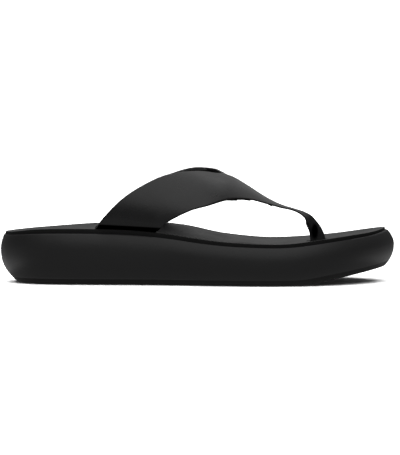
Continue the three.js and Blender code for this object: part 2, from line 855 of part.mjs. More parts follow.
const BOARD_INSET = COVER_THICKNESS + GAP;
add("outsole", makeOutsole(), materials.rubber);
add("midsole", makeMidsole(), materials.foam_unit);
add("bottom_filler", makeFiller(), materials.foam);
add(
  "insole_board",
  withStapleHoles(withSlots(makeLayer(BOARD_INSET, BOARD_TOP, BOARD_BOTTOM)), [LATERAL_SLOT, MEDIAL_SLOT]),
  materials.board,
);
add("footbed_foam", withSlots(makeLayer(BOARD_INSET, FOAM_TOP, FOAM_BOTTOM)), materials.foam);
add("insole_cover", withSlots(makeCover()), materials.leather);
add("lateral_strap", makeLateralStrap(), materials.leather);
add("lateral_strap_lining", lining(tailRows(LATERAL), lateralBand), materials.lining);
add("medial_strap", makeMedialStrap(), materials.leather);
add("medial_strap_lining", lining(mirrored(tailRows(MEDIAL)), medialBand), materials.lining);
add("toe_post_tape", makeTape(), materials.tape);
add("toe_post_pin", pinGeometry(POST_PIN_RADIUS, POST_PIN_LENGTH), materials.steel);
for (const [name, staple] of Object.entries(STAPLES)) {
  add(name, stapleGeometry(staple, 0), materials.steel);
}

export default sandal;
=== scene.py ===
"""Looks of a right-foot leather thong sandal on a thick foam sole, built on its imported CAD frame.

The fine pieces follow the same curves as the CAD pieces that they replace. Lengths in the shape
code are millimetres and become metres when a mesh is made.
"""

import math

import bmesh
import bpy
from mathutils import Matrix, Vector


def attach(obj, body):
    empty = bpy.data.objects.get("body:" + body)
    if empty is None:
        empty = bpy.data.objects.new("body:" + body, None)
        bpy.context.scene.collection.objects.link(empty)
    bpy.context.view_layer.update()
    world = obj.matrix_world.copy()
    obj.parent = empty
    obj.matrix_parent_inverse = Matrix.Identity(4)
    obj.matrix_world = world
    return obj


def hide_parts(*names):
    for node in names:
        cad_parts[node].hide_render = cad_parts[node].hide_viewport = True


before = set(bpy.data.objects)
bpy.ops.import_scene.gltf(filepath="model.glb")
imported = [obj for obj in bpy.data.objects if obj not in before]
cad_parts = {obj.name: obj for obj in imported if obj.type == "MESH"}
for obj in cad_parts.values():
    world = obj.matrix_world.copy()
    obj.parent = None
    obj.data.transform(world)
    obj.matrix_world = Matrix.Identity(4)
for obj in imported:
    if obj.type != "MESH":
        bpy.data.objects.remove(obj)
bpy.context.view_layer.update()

MM = 0.001

# ---- Driving dimensions, as in the CAD model ----

GAP = 0.3
FIT = 0.4
COVER_THICKNESS = 1.2
FOAM_TOP = COVER_THICKNESS + GAP
FOAM_BOTTOM = FOAM_TOP + 3
BOARD_TOP = FOAM_BOTTOM + GAP
BOARD_BOTTOM = BOARD_TOP + 1.8
TAIL_TOP = BOARD_BOTTOM + GAP
FILLER_BOTTOM = TAIL_TOP + 2.1
RECESS_FLOOR = FILLER_BOTTOM + GAP
FILLER_INSET = 3
TAIL_ROOM = 3
TAIL_SIDE_ROOM = 1.5
OUTSOLE_THICKNESS = 4
TREAD_DEPTH = 1.4
TREAD_PITCH = 9
TREAD_GROOVE = 3
TREAD_BORDER = 7
TREAD_X = (-112.5, 112)
LEATHER = 1.1
LINING = 0.6
PLY_GAP = 0.15
STACK_DROP = 2.8
TAIL_LENGTH = 14
BEND_RADIUS = 1.2
SLOT_COLLAR = 1.3
SLOT_EASE = 0.5
POST_Y = 10
POST_WIDTH = 19.2
POST_FOLD_RADIUS = 0.9
POST_HOLE_X = (75.1, 89.4)
PIN_POCKET = 16
PIN_POCKET_FLOOR = RECESS_FLOOR + 6
ABOVE_ALL = 6
CUTTER_HEIGHT = 40
SLOT_CUTTER_Z = 32
TAIL_CUTTER_Z = 25

# ---- Finer steps than the CAD model's ----

RING = 240
ACROSS = 30
WALL_TOP = 0.915
WALL_FOOT = 0.14
STRAP_CELLS = 44
BAND_ROWS = 110
POST_ROWS = 90
CROOK_ROWS = 12  # on each side of the place where the strap becomes the toe post


def lerp(a, b, t):
    return a + (b - a) * t


def smoothstep(x, low, high):
    t = min(max((x - low) / (high - low), 0), 1)
    return t * t * (3 - 2 * t)


def steps(count, start, end):
    return [lerp(start, end, i / count) for i in range(count + 1)]


def smooth_through(points):
    """y(x) through the points, held at its end values beyond them."""
    last = len(points) - 1
    slopes = []
    for i in range(last + 1):
        before, after = points[max(i - 1, 0)], points[min(i + 1, last)]
        slopes.append((after[1] - before[1]) / (after[0] - before[0]))

    def value(x):
        if x <= points[0][0]:
            return points[0][1]
        if x >= points[last][0]:
            return points[last][1]
        i = next(k for k in range(last + 1) if points[k][0] > x) - 1
        (x0, y0), (x1, y1) = points[i], points[i + 1]
        h, rise = x1 - x0, y1 - y0
        t = (x - x0) / h
        bend = t * (1 - t) * ((1 - t) * (h * slopes[i] - rise) - t * (h * slopes[i + 1] - rise))
        return y0 + rise * t + bend

    return value


class Curve:
    """A centripetal Catmull-Rom curve through points, with t from 0 to 1."""

    def __init__(self, points, closed=False):
        self.points = [Vector(p) for p in points]
        self.closed = closed

    def _around(self, k):
        points, count = self.points, len(self.points)
        if self.closed:
            return [points[(k + n) % count] for n in (-1, 0, 1, 2)]
        before = points[k - 1] if k > 0 else points[0] * 2 - points[1]
        after = points[k + 2] if k + 2 < count else points[-1] * 2 - points[-2]
        return [before, points[k], points[k + 1], after]

    def point(self, t):
        spans = len(self.points) if self.closed else len(self.points) - 1
        place = t * spans
        k = math.floor(place)
        if not self.closed:
            k = min(max(k, 0), spans - 1)
        u = place - k
        p0, p1, p2, p3 = self._around(k)
        d0, d1, d2 = (max((b - a).length ** 0.5, 1e-4) for a, b in ((p0, p1), (p1, p2), (p2, p3)))
        m1 = ((p1 - p0) / d0 - (p2 - p0) / (d0 + d1) + (p2 - p1) / d1) * d1
        m2 = ((p2 - p1) / d1 - (p3 - p1) / (d1 + d2) + (p3 - p2) / d2) * d1
        a = p1 * 2 - p2 * 2 + m1 + m2
        b = p2 * 3 - p1 * 3 - m1 * 2 - m2
        return ((a * u + b) * u + m1) * u + p1

    def tangent(self, t):
        delta = 1e-4
        low, high = (t - delta, t + delta) if self.closed else (max(t - delta, 0), min(t + delta, 1))
        return (self.point(high) - self.point(low)).normalized()


# ---- The footbed's outline and surfaces ----

HEEL_END = (-131, 0.5)
TOE_END = (128.8, 8)
LATERAL_SIDE = [
    (-126.5, -14.5),
    (-115, -25),
    (-92, -31.5),
    (-60, -33.5),
    (-25, -36),
    (10, -42),
    (42, -46),
    (70, -43.5),
    (93, -35.5),
    (112, -22),
    (124.5, -5.5),
]
MEDIAL_SIDE = [
    (-126.5, 15),
    (-115, 25),
    (-92, 31),
    (-60, 32),
    (-28, 32.5),
    (8, 38),
    (38, 45),
    (66, 45.5),
    (92, 41),
    (112, 33.5),
    (124.5, 20.5),
]
round_the_sole = [HEEL_END, *LATERAL_SIDE, TOE_END, *reversed(MEDIAL_SIDE)]
outline = Curve([(x, y, 0) for x, y in round_the_sole], closed=True)

lateral_rim = smooth_through(
    [
        (-131, 34.8),
        (-107, 37.5),
        (-75, 38),
        (-45, 37.2),
        (-20, 34.8),
        (0, 31.8),
        (18, 29.7),
        (45, 28.4),
        (60, 28.6),
        (77, 30.3),
        (96, 32.8),
        (113, 35.1),
        (129, 37.1),
    ]
)
medial_rim = smooth_through(
    [
        (-131, 34.8),
        (-107, 36.1),
        (-73, 38.4),
        (-40, 40),
        (-10, 37.6),
        (18, 31.4),
        (45, 28.1),
        (67, 28.3),
        (89, 30.2),
        (108, 32.9),
        (129, 37.1),
    ]
)
dish = smooth_through(
    [(-131, 0), (-114, 2.2), (-90, 3), (-30, 2.2), (30, 1.6), (80, 2.2), (112, 1.6), (129, 0)]
)
half_width = smooth_through(
    [(-131, 14), (-115, 25), (-60, 33), (-25, 34.5), (42, 45.5), (70, 44.5), (112, 28), (129, 14)]
)


def footbed(x, y):
    across = min(max(y / half_width(x), -1), 1)
    rim = lerp(lateral_rim(x), medial_rim(x), smoothstep(across, -1, 1))
    return rim - dish(x) * (1 - across * across)


def below(depth):
    return lambda x, y: footbed(x, y) - depth


rim_drop = smooth_through([(-131, 1.5), (-105, 2.9), (98, 2.9), (129, 1.4)])


def below_rim(extra=0.0):
    return lambda x, y: footbed(x, y) - rim_drop(x) - extra


SPRING_START = 60
SPRING_BLEND = 20
SPRING_SLOPE = 0.18


def ground(x):
    ahead = max(x - SPRING_START, 0)
    if ahead < SPRING_BLEND:
        return SPRING_SLOPE * ahead * ahead / (2 * SPRING_BLEND)
    return SPRING_SLOPE * (ahead - SPRING_BLEND / 2)


wall_bulge = smooth_through([(-131, 3.3), (-90, 4.8), (40, 5.8), (129, 6.3)])
wall_peak = smooth_through([(-131, 0.645), (0, 0.6), (129, 0.55)])
wall_tuck = smooth_through([(-131, 8.5), (-95, 5), (70, 4), (105, 1.8), (129, -0.2)])


def outline_point(index, distance):
    t = index / RING
    point, tangent = outline.point(t), outline.tangent(t)
    return Vector((point.x + tangent.y * distance, point.y - tangent.x * distance, 0))


def offset_ring(distance, height):
    """A ring that keeps one distance from the outline."""
    ring = []
    for i in range(RING):
        p = outline_point(i, distance)
        p.z = height(p.x, p.y)
        ring.append(p)
    return ring


def wall_ring(share=None, above=0.0):
    """A ring on the side wall, a share of the way up it, or a height above the ground."""
    ring = []
    for i in range(RING):
        edge = outline_point(i, 0)
        rim = footbed(edge.x, edge.y)
        part = above / (rim - ground(edge.x)) if share is None else share
        peak, bulge = wall_peak(edge.x), wall_bulge(edge.x)
        upper = part > peak
        reach = (part - peak) / (1 - peak) if upper else (peak - part) / peak
        inset = bulge if upper else bulge + wall_tuck(edge.x)
        p = outline_point(i, bulge - inset * reach ** (2 if upper else 2.4))
        p.z = lerp(ground(p.x), rim, part)
        ring.append(p)
    return ring


def between(inner, outer, share, lift=0.0):
    """A ring part of the way from one to another, lifted a little."""
    return [a.lerp(b, share) + Vector((0, 0, lift)) for a, b in zip(inner, outer)]


# ---- Meshes ----

FACE, EDGE = 0, 1  # a piece's materials: its faces, and its sides or cut edges


class Builder:
    """Collects points and faces, then makes a mesh object in metres."""

    def __init__(self):
        self.points = []
        self.faces = []
        self.marks = []

    def add(self, points):
        first = len(self.points)
        self.points.extend(points)
        return list(range(first, first + len(points)))

    def face(self, corners, mark=0):
        corners = list(dict.fromkeys(corners))
        if len(corners) > 2:
            self.faces.append(corners)
            self.marks.append(mark)

    def strip(self, a, b, mark=0):
        """Quads between two rows; a row of one point makes a fan."""
        for j in range(max(len(a), len(b)) - 1):
            a0, a1 = (a[j], a[j + 1]) if len(a) > 1 else (a[0], a[0])
            b0, b1 = (b[j], b[j + 1]) if len(b) > 1 else (b[0], b[0])
            self.face([a0, b0, b1, a1], mark)

    def build(self, name, smooth_angle=40):
        mesh = bpy.data.meshes.new(name)
        mesh.from_pydata([tuple(p * MM) for p in self.points], [], self.faces)
        mesh.polygons.foreach_set("material_index", self.marks)
        for _ in range(max(self.marks) + 1):
            mesh.materials.append(None)
        mesh.validate()
        mesh.shade_smooth()
        mesh.set_sharp_from_angle(angle=math.radians(smooth_angle))
        piece = bpy.data.objects.new(name, mesh)
        bpy.context.scene.collection.objects.link(piece)
        return piece


def cap_rows(builder, ring, indices, height):
    """Rows that fill a ring, from each lateral point to its medial partner."""
    rows = [[indices[0]]]
    for i in range(1, RING // 2):
        inner = []
        for j in range(1, ACROSS):
            p = ring[i].lerp(ring[RING - i], j / ACROSS)
            p.z = height(p.x, p.y)
            inner.append(p)
        rows.append([indices[i], *builder.add(inner), indices[RING - i]])
    rows.append([indices[RING // 2]])
    return rows


def shell(name, rings, first_height, last_height, smooth_angle=40, side_from=None):
    """A closed body from a cap facing up on the first ring to one facing down on the last.

    From the ring numbered side_from on, its faces take the second material.
    """
    builder = Builder()
    loops = [builder.add(ring) for ring in rings]
    top = cap_rows(builder, rings[0], loops[0], first_height)
    for a, b in zip(top, top[1:]):
        builder.strip(a, b)
    bottom = cap_rows(builder, rings[-1], loops[-1], last_height)
    for a, b in zip(bottom, bottom[1:]):
        builder.strip(b, a)
    for k, (upper, lower) in enumerate(zip(loops, loops[1:])):
        side = side_from is not None and k >= side_from
        builder.strip([*upper, upper[0]], [*lower, lower[0]], EDGE if side else FACE)
    return builder.build(name, smooth_angle)


def box_cutter(size, place, turn_z=0.0, turn_y=0.0):
    """A box to cut with, in millimetres, turned about Y and then about Z."""
    bm = bmesh.new()
    bmesh.ops.create_cube(bm, size=1)
    mesh = bpy.data.meshes.new("cutter")
    bm.to_mesh(mesh)
    bm.free()
    cutter = bpy.data.objects.new("cutter", mesh)
    cutter.scale = Vector(size) * MM
    cutter.rotation_euler = (0, turn_y, turn_z)
    cutter.location = Vector(place) * MM
    bpy.context.scene.collection.objects.link(cutter)
    return cutter


def cut(piece, cutters):
    """Cuts the boxes out of the piece for good."""
    for cutter in cutters:
        modifier = piece.modifiers.new("cut", "BOOLEAN")
        modifier.operation = "DIFFERENCE"
        modifier.solver = "EXACT"
        modifier.object = cutter
    bake(piece)
    for cutter in cutters:
        bpy.data.objects.remove(cutter)


def bake(piece):
    """Applies the piece's modifiers."""
    graph = bpy.context.evaluated_depsgraph_get()
    mesh = bpy.data.meshes.new_from_object(piece.evaluated_get(graph))
    piece.modifiers.clear()
    piece.data = mesh


def soften_edges(piece, width, segments=2, angle=50):
    modifier = piece.modifiers.new("soften", "BEVEL")
    modifier.width = width * MM
    modifier.segments = segments
    modifier.limit_method = "ANGLE"
    modifier.angle_limit = math.radians(angle)
    bake(piece)
    piece.data.shade_smooth()
    piece.data.set_sharp_from_angle(angle=math.radians(60))


# ---- The instep surface that the straps lie on ----

LATERAL_SLOT = {"rear": (-69, -30), "front": (-28, -32.4), "inward": 1}
MEDIAL_SLOT = {"rear": (-65.5, 29), "front": (-25, 29.7), "inward": -1}


def slot_y(slot, x):
    (x0, y0), (x1, y1) = slot["rear"], slot["front"]
    return lerp(y0, y1, (x - x0) / (x1 - x0))


crest_y = smooth_through([(-70, 3), (-20, 4), (20, 7.5), (46, 10), (68, 10)])
crest_z = smooth_through(
    [
        (-70, 97),
        (-20, 85),
        (0, 80.2),
        (12, 76.2),
        (20, 73),
        (35, 64),
        (46, 56.8),
        (57, 51.1),
        (68, 48.2),
    ]
)
side_z = smooth_through(
    [(-70, 45), (-50, 44.5), (-20, 41), (0, 38), (20, 34), (35, 30), (46, 26.5), (68, 22)]
)
MEDIAL_RISE = 4
lateral_side_y = smooth_through([(-70, -34.5), (-50, -36), (0, -39), (20, -37.5), (46, -31), (68, -26)])
medial_side_y = smooth_through(
    [(-70, 32.3), (-50, 33), (-20, 34), (0, 36.5), (20, 39.5), (46, 40), (68, 38)]
)


def slot_angle(slot, x):
    side = lateral_side_y(x) if slot["inward"] > 0 else medial_side_y(x)
    share = (slot_y(slot, x) - crest_y(x)) / (side - crest_y(x))
    angle = math.degrees(math.acos(share))
    return -angle if slot["inward"] > 0 else 180 + angle


def slot_drop(slot, x, side):
    """The depth of the ellipse under the side, so that it meets the footbed at the slot."""
    rise = abs(math.sin(math.radians(slot_angle(slot, x))))
    return (side - footbed(x, slot_y(slot, x))) / rise


def instep(x, degrees):
    """A point on the instep surface: 0 at the lateral side, 90 at the crest, 180 at the medial."""
    if degrees < 90:
        slot, side, reach = LATERAL_SLOT, side_z(x), crest_y(x) - lateral_side_y(x)
    else:
        slot, side, reach = MEDIAL_SLOT, side_z(x) + MEDIAL_RISE, medial_side_y(x) - crest_y(x)
    sine, cosine = math.sin(math.radians(degrees)), math.cos(math.radians(degrees))
    height = crest_z(x) - side if sine > 0 else slot_drop(slot, x, side)
    return Vector((x, crest_y(x) - reach * cosine, side + height * sine))


END_X = 66
MEDIAL_END_X = 52


def edge_angles(slot, end, points):
    x = slot[end][0]
    return smooth_through([(x, slot_angle(slot, x)), *points])


LATERAL = {
    "slot": LATERAL_SLOT,
    "end_x": END_X,
    "rear": edge_angles(
        LATERAL_SLOT,
        "rear",
        [
            (-64, -1.3),
            (-62.3, 1.8),
            (-50, 17.1),
            (-36, 32),
            (-20, 48),
            (-3, 60.5),
            (7, 67),
            (13, 71),
            (20, 80),
            (27, 90),
            (44, 101.5),
            (END_X, 103),
        ],
    ),
    "front": edge_angles(
        LATERAL_SLOT,
        "front",
        [
            (-22.5, -1.2),
            (-19.8, 2.3),
            (-4.5, 15.9),
            (8, 25),
            (24, 40.5),
            (45, 62),
            (56, 73),
            (END_X, 80),
        ],
    ),
}
MEDIAL = {
    "slot": MEDIAL_SLOT,
    "end_x": MEDIAL_END_X,
    "rear": edge_angles(
        MEDIAL_SLOT,
        "rear",
        [
            (-56, 181.5),
            (-54.3, 179),
            (-44, 165),
            (-32, 151),
            (-16, 134),
            (-2, 117.5),
            (7, 107.5),
            (14, 96),
            (19, 85),
            (24, 77.5),
            (34, 72.5),
            (MEDIAL_END_X, 79),
        ],
    ),
    "front": edge_angles(
        MEDIAL_SLOT,
        "front",
        [(-14.5, 181.5), (-12.8, 179), (6, 163), (28, 146.5), (44, 124.5), (MEDIAL_END_X, 105)],
    ),
}

across_shares = [math.copysign(abs(u) ** 1.5, u) for u in steps(STRAP_CELLS, -1, 1)]

BAND_START = 0.03
CROWDING = 1.5
REAR_LAG = 1.3


def band_places(strap, count):
    """Rows of (x, degrees) on the instep surface, from the slot to the strap's front end."""
    rows = []
    for s in steps(count, BAND_START ** (1 / CROWDING), 1):
        t = s**CROWDING
        rear_x = lerp(strap["slot"]["rear"][0], strap["end_x"], t**REAR_LAG)
        front_x = lerp(strap["slot"]["front"][0], strap["end_x"], t)
        rear_angle, front_angle = strap["rear"](rear_x), strap["front"](front_x)
        row = []
        for share in across_shares:
            w = (share + 1) / 2
            row.append((lerp(rear_x, front_x, w), lerp(rear_angle, front_angle, w)))
        rows.append(row)
    return rows


def on_instep(places):
    return [[instep(x, degrees) for x, degrees in row] for row in places]


def tail_rows(slot):
    """A strap's tail: inwards under the board, round the bend and up its slot."""
    middle = TAIL_TOP - PLY_GAP

    def at(inward, depth):
        row = []
        for share in across_shares:
            x = lerp(slot["rear"][0], slot["front"][0], (share + 1) / 2)
            y = slot_y(slot, x) + slot["inward"] * inward
            row.append(Vector((x, y, footbed(x, y) - depth)))
        return row

    rows = [at(reach, middle) for reach in steps(8, TAIL_LENGTH, BEND_RADIUS + 1)]
    for degrees in steps(6, 0, 90):
        turn = math.radians(degrees)
        rows.append(at(BEND_RADIUS * (1 - math.sin(turn)), middle - BEND_RADIUS * (1 - math.cos(turn))))
    return rows + [at(0, depth) for depth in (BOARD_TOP, 3, 1.5, 0.3, -0.5, -SLOT_COLLAR)]


post_line = Curve(
    [
        (x, POST_Y, z)
        for x, z in [
            (60, crest_z(60)),
            (END_X, 48.5),
            (72.8, 46.4),
            (77.6, 43.8),
            (80.8, 40.4),
            (83.7, 36.6),
            (85.8, 32.4),
            (87, 28),
            (87.4, 22),
            (87.4, 14),
        ]
    ]
)
post_fold = smooth_through([(0.1, 0), (0.25, 55), (0.36, 115), (0.5, 158), (0.65, 176), (1, 179)])
post_flat_width = smooth_through(
    [
        (0.1, 12.5),
        (0.25, 12.4),
        (0.36, 14.4),
        (0.5, 15.9),
        (0.62, 18.2),
        (0.72, POST_WIDTH),
        (1, POST_WIDTH),
    ]
)
POST_START = 0.14
POST_END = 0.97


def post_row(t):
    """A row of the folded toe post: an arc about the fold line, then a leg on each side."""
    centre, along = post_line.point(t), post_line.tangent(t)
    out = Vector((-along.z, 0, along.x))
    half_fold = math.radians(post_fold(t)) / 2
    arc = POST_FOLD_RADIUS * half_fold
    row = []
    for share in across_shares:
        reach = abs(share) * post_flat_width(t) / 2
        turn = min(reach / POST_FOLD_RADIUS, half_fold)
        leg = max(reach - arc, 0)
        side = POST_FOLD_RADIUS * math.sin(turn) + leg * math.cos(half_fold)
        back = POST_FOLD_RADIUS * (1 - math.cos(turn)) + leg * math.sin(half_fold)
        p = centre - out * back
        p.y = POST_Y - math.copysign(side, share)
        row.append(p)
    return row


def smoothed(rows, first, last, passes):
    """Evens out the rows from first to last along the strap."""
    rows = [[p.copy() for p in row] for row in rows]
    for _ in range(passes):
        before = [[p.copy() for p in row] for row in rows]
        for i in range(first, last):
            for j in range(len(rows[i])):
                rows[i][j] = before[i][j] * 0.5 + (before[i - 1][j] + before[i + 1][j]) * 0.25
    return rows


def raised(rows, distance):
    """The grid moved outwards along its normals, by distance(i, j)."""
    last, width = len(rows) - 1, len(rows[0]) - 1
    moved = []
    for i, row in enumerate(rows):
        ahead, behind = rows[min(i + 1, last)], rows[max(i - 1, 0)]
        moved_row = []
        for j, p in enumerate(row):
            along = ahead[j] - behind[j]
            across = row[min(j + 1, width)] - row[max(j - 1, 0)]
            moved_row.append(p + across.cross(along).normalized() * distance(i, j))
        moved.append(moved_row)
    return moved


def mirrored(rows):
    return [row[::-1] for row in rows]


def ply(name, rows, inner, outer):
    """A ply of a strap: the space between two distances from its grid, with softened edges."""
    builder = Builder()
    under = [builder.add(row) for row in raised(rows, lambda i, j: inner)]
    over = [builder.add(row) for row in raised(rows, lambda i, j: outer)]
    for i in range(1, len(rows)):
        builder.strip(over[i], over[i - 1], FACE)
        builder.strip(under[i - 1], under[i], FACE)
    builder.strip(over[0], under[0], EDGE)
    builder.strip(under[-1], over[-1], EDGE)
    builder.strip([row[0] for row in under], [row[0] for row in over], EDGE)
    builder.strip([row[-1] for row in over], [row[-1] for row in under], EDGE)
    piece = builder.build(name)
    soften_edges(piece, min(0.28, (outer - inner) * 0.3))
    return piece


FADE_START = 3
FADE_END = 30
LINING_GONE_X = (40, 48)  # where the medial strap no longer has to clear the linings


def medial_drop(x, degrees):
    """How far the medial strap moves in, to pass under the lateral strap and its lining."""
    full = lerp(STACK_DROP, STACK_DROP - LINING, smoothstep(x, *LINING_GONE_X))
    return full * (1 - smoothstep(degrees - LATERAL["rear"](x), FADE_START, FADE_END))


# ---- Materials ----


def new_material(name, color, roughness, specular=0.5, metallic=0.0):
    material = bpy.data.materials.new(name)
    material.use_nodes = True
    shader = material.node_tree.nodes["Principled BSDF"]
    shader.inputs["Base Color"].default_value = (*color, 1)
    shader.inputs["Roughness"].default_value = roughness
    shader.inputs["Specular IOR Level"].default_value = specular
    shader.inputs["Metallic"].default_value = metallic
    return material


def node(material, kind, **values):
    """A node with its inputs and properties set by name; an input may be another node's output."""
    made = material.node_tree.nodes.new(kind)
    for key, value in values.items():
        if key in made.inputs:
            if isinstance(value, bpy.types.NodeSocket):
                material.node_tree.links.new(value, made.inputs[key])
            else:
                made.inputs[key].default_value = value
        else:
            setattr(made, key, value)
    return made


def place(material):
    """The point on the object, in metres."""
    return node(material, "ShaderNodeTexCoord").outputs["Object"]


def stretched(material, vector, factors):
    """The vector with each axis multiplied by its factor."""
    made = node(material, "ShaderNodeVectorMath", operation="MULTIPLY")
    material.node_tree.links.new(vector, made.inputs[0])
    made.inputs[1].default_value = factors
    return made.outputs["Vector"]


def noise(material, vector, scale, detail=3.0, roughness=0.5):
    made = node(material, "ShaderNodeTexNoise", Vector=vector, Scale=scale, Detail=detail)
    made.inputs["Roughness"].default_value = roughness
    return made.outputs["Fac"]


NOISE_LOW, NOISE_HIGH = 0.3, 0.7  # most of a noise texture lies between these


def spread(material, value, low, high, from_low=NOISE_LOW, from_high=NOISE_HIGH):
    """The value stretched from one range to another, and held at low and high beyond it."""
    made = node(material, "ShaderNodeMapRange", Value=value)
    made.inputs["From Min"].default_value = from_low
    made.inputs["From Max"].default_value = from_high
    made.inputs["To Min"].default_value = low
    made.inputs["To Max"].default_value = high
    return made.outputs["Result"]


def math_node(material, operation, a, b):
    made = node(material, "ShaderNodeMath", operation=operation)
    for socket, value in zip(made.inputs, (a, b)):
        if isinstance(value, bpy.types.NodeSocket):
            material.node_tree.links.new(value, socket)
        else:
            socket.default_value = value
    return made.outputs["Value"]


def mixed_color(material, value, dark, light):
    """A color between dark and light, as the value goes through a noise's usual range."""
    ramp = node(material, "ShaderNodeValToRGB", Fac=value)
    ramp.color_ramp.elements[0].color = (*dark, 1)
    ramp.color_ramp.elements[1].color = (*light, 1)
    ramp.color_ramp.elements[0].position = NOISE_LOW
    ramp.color_ramp.elements[1].position = NOISE_HIGH
    return ramp.outputs["Color"]


def finish_material(material, color=None, roughness=None, height=None, depth=0.0001, strength=1.0):
    """Joins the textures to the shader; depth is the bump's height in metres."""
    tree = material.node_tree
    shader = tree.nodes["Principled BSDF"]
    if color is not None:
        tree.links.new(color, shader.inputs["Base Color"])
    if roughness is not None:
        tree.links.new(roughness, shader.inputs["Roughness"])
    if height is not None:
        bump = node(material, "ShaderNodeBump", Height=height)
        bump.inputs["Distance"].default_value = depth
        bump.inputs["Strength"].default_value = strength
        tree.links.new(bump.outputs["Normal"], shader.inputs["Normal"])
    return material


def leather_grain(material, vector, cell=0.0008):
    """Fine pebbled grain: rounded cells with narrow valleys, and finer pores."""
    cells = node(
        material, "ShaderNodeTexVoronoi", feature="SMOOTH_F1", Vector=vector, Scale=1 / cell, Smoothness=0.6
    ).outputs["Distance"]
    pores = noise(material, vector, 5 / cell, detail=2)
    domes = math_node(material, "MULTIPLY", cells, -0.8)
    return math_node(material, "ADD", domes, math_node(material, "MULTIPLY", pores, 0.25))


def make_leather(name, color, roughness, depth):
    material = new_material(name, color, roughness)
    vector = place(material)
    soft = noise(material, vector, 55, detail=4)
    grain = leather_grain(material, vector)
    waves = noise(material, vector, 90, detail=2)
    height = math_node(material, "ADD", grain, math_node(material, "MULTIPLY", waves, 1.6))
    darker = tuple(c * 0.8 for c in color)
    lighter = tuple(c * 1.25 for c in color)
    return finish_material(
        material,
        mixed_color(material, soft, darker, lighter),
        spread(material, soft, roughness - 0.06, roughness + 0.06),
        height,
        depth,
    )


CREASE_HEIGHT = 3.9  # height of the painted shade's top above the footbed at the strap's outer face
CREASE_BLEND = (-0.5, 0.3)  # about that height, from painted black shade to unshaded leather
CREASE_PAST_SLOT = 15  # from the slot's front end on, to where the painted shade has faded out

# Painted shade for a hollow in each side of the folded toe post, as a tall oval; the mesh itself has no
# hollow there.
HOLLOW_CENTRE = (80.7, POST_Y, 34)
HOLLOW_HALF_LENGTH = 7
HOLLOW_HALF_WIDTH = 2.8
HOLLOW_CORE = 0.55  # the share of the oval where the painted shade is quite black


def make_strap_leather_with_painted_shade(slot):
    """The strap's leather: dull and black, with painted shade in its crease by the slot and in the hollows
    of the toe post.
    """
    material = make_leather("strap_leather", (0.009, 0.009, 0.0095), 0.31, 0.00004)
    links = material.node_tree.links
    shader = material.node_tree.nodes["Principled BSDF"]
    color, shine = shader.inputs["Base Color"], shader.inputs["Specular IOR Level"]
    # Painted shade: the colour and specular level are scaled towards zero in the crease by the slot and in
    # the post's hollows.
    unshaded = math_node(material, "MULTIPLY", past_crease_shade(material, slot), past_hollow_shade(material))
    shaded_color = node(material, "ShaderNodeVectorMath", operation="SCALE", Scale=unshaded)
    links.new(color.links[0].from_socket, shaded_color.inputs[0])
    links.new(shaded_color.outputs["Vector"], color)
    links.new(math_node(material, "MULTIPLY", unshaded, shine.default_value), shine)
    return material


def past_crease_shade(material, slot):
    """0 in the crease where a strap bends into its slot, and 1 above and in front of it: the mask of the
    painted shade there.
    """
    rear, front = slot["rear"], slot["front"]
    slope = (footbed(*front) - footbed(*rear)) / (front[0] - rear[0])
    crease = footbed(*rear) - slope * rear[0] + CREASE_HEIGHT
    low, high = ((crease + blend) * MM for blend in CREASE_BLEND)
    axes = node(material, "ShaderNodeSeparateXYZ", Vector=place(material)).outputs
    height = math_node(material, "SUBTRACT", axes["Z"], math_node(material, "MULTIPLY", axes["X"], slope))
    above = spread(material, height, 0, 1, low, high)
    ahead = spread(material, axes["X"], 0, 1, front[0] * MM, (front[0] + CREASE_PAST_SLOT) * MM)
    return math_node(material, "MAXIMUM", above, ahead)


def past_hollow_shade(material):
    """0 in the hollows of the toe post, and 1 outside them: the mask of the painted shade there."""
    factors = Vector((1, 0, HOLLOW_HALF_WIDTH / HOLLOW_HALF_LENGTH))
    apart = node(material, "ShaderNodeVectorMath", operation="DISTANCE")
    material.node_tree.links.new(stretched(material, place(material), factors), apart.inputs[0])
    apart.inputs[1].default_value = Vector(HOLLOW_CENTRE) * factors * MM
    rim = HOLLOW_HALF_WIDTH * MM
    return spread(material, apart.outputs["Value"], 0, 1, HOLLOW_CORE * rim, rim)


def make_edge_paint():
    """The burnished, painted cut edge of the leather."""
    material = new_material("leather_cut_edge", (0.02, 0.02, 0.0205), 0.34)
    vector = place(material)
    fibres = noise(material, vector, 1800, detail=3)
    return finish_material(
        material,
        mixed_color(material, fibres, (0.018, 0.018, 0.0185), (0.032, 0.0315, 0.031)),
        spread(material, fibres, 0.3, 0.42),
        fibres,
        0.00006,
    )


def make_shaded_cover_side():
    """The turned-down side of the footbed's leather: a darker, duller copy of the cover leather, as painted
    shade along the footbed's edge above the foam's lip.
    """
    material = new_material("footbed_side_leather_painted_shade", (0.006, 0.006, 0.0063), 0.7, specular=0.3)
    vector = place(material)
    side_mottle = noise(material, vector, 160, detail=4)
    return finish_material(
        material,
        mixed_color(material, side_mottle, (0.0045, 0.0045, 0.0048), (0.008, 0.008, 0.0083)),
        spread(material, side_mottle, 0.68, 0.85),
        leather_grain(material, vector),
        0.00005,
    )


def make_lining_leather():
    material = new_material("lining_leather", (0.012, 0.012, 0.0125), 0.78, specular=0.35)
    vector = place(material)
    nap = noise(material, vector, 2600, detail=4, roughness=0.7)
    patches = noise(material, vector, 70, detail=3)
    return finish_material(
        material,
        mixed_color(material, patches, (0.009, 0.009, 0.0095), (0.016, 0.0155, 0.015)),
        spread(material, patches, 0.7, 0.86),
        nap,
        0.00005,
    )


